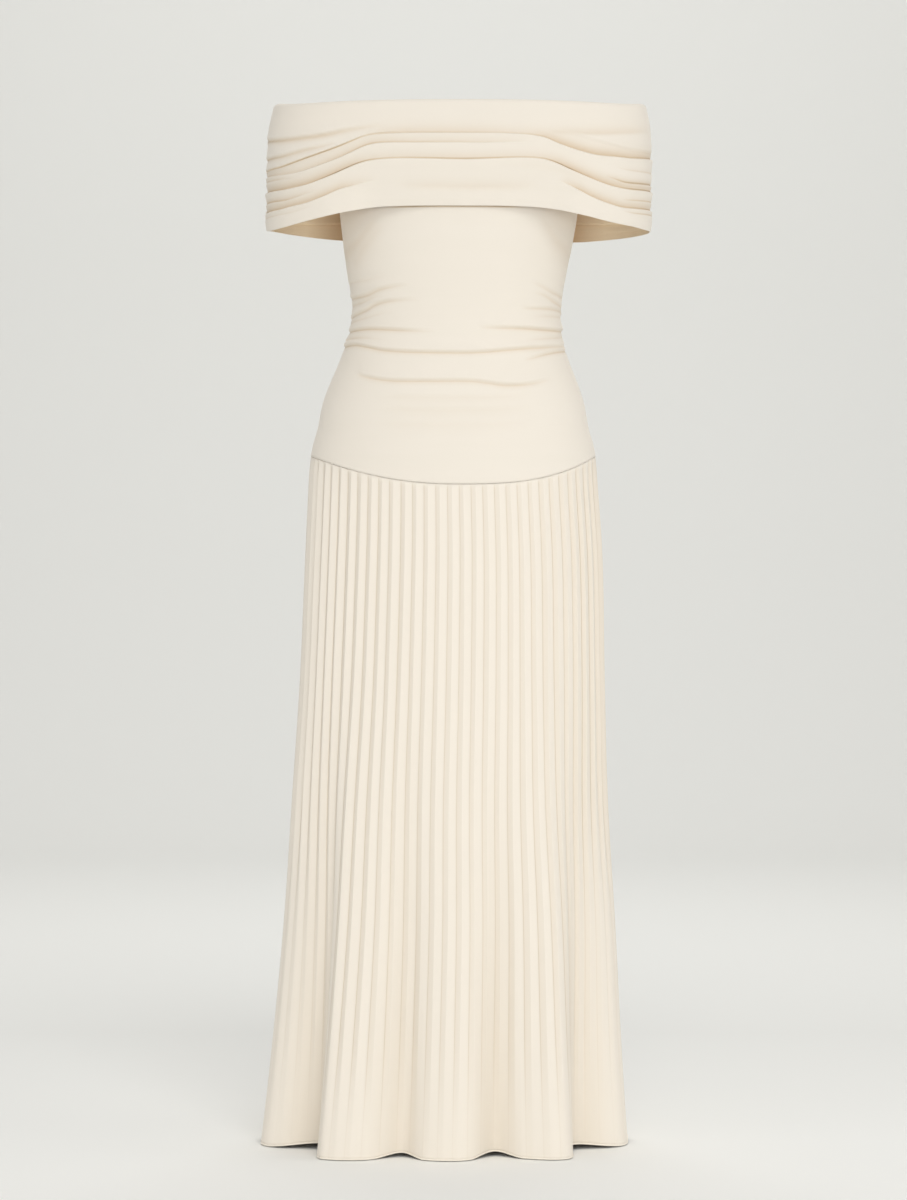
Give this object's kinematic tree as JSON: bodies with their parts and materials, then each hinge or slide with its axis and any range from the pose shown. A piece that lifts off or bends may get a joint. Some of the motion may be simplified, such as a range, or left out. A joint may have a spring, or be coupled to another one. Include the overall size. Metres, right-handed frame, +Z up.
{
  "type": "off-shoulder dress",
  "caption": "Floor-length off-shoulder dress with a draped fold-over band, fitted dropped-waist bodice and knife-pleated skirt, filled out as worn.",
  "frame": {"origin": "middle of the body's hollow at the bodice's top edge, where the dress grips the wearer's chest and is held up", "axes": "+Z up, -Y towards the front of the dress, +X to the viewer's right"},
  "size_m": [0.4885, 0.3031, 1.2927],
  "materials": {
    "band_jersey": "matt cream jersey, doubled",
    "bodice_jersey": "matt cream jersey",
    "pleated_jersey": "matt cream jersey with pressed knife pleats"
  },
  "bodies": {
    "root": {"band_front": "band_jersey", "band_back": "band_jersey", "bodice_front": "bodice_jersey", "bodice_back": "bodice_jersey", "skirt_front": "pleated_jersey", "skirt_back": "pleated_jersey"}
  },
  "joints": []
}
